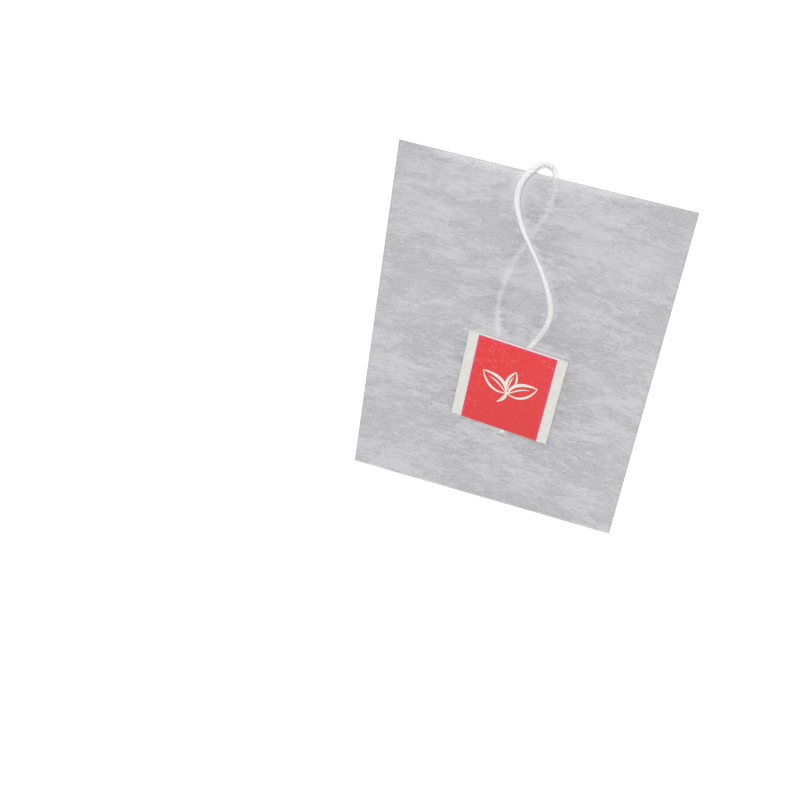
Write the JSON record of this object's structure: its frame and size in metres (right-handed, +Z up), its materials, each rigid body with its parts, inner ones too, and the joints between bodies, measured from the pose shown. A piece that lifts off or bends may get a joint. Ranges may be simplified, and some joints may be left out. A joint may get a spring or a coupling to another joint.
{
  "type": "empty string-and-tag tea bag",
  "caption": "Flat rectangular pouch of thin pale fibre sheet, open at the mouth, with a cotton string looped over its edge and a red card tag.",
  "frame": {"origin": "middle of the pouch's underside, on the surface that the bag lies on", "axes": "+X across the pouch, +Y along the pouch towards its open mouth, +Z up out of the front wall"},
  "size_m": [0.06, 0.0831, 0.0033],
  "materials": {
    "fibre_sheet": "translucent non-woven",
    "cotton": "matte twisted cotton",
    "printed_card": "uncoated printed card"
  },
  "bodies": {
    "root": {"pouch": "fibre_sheet", "string": "cotton", "tag": "printed_card"}
  },
  "joints": []
}
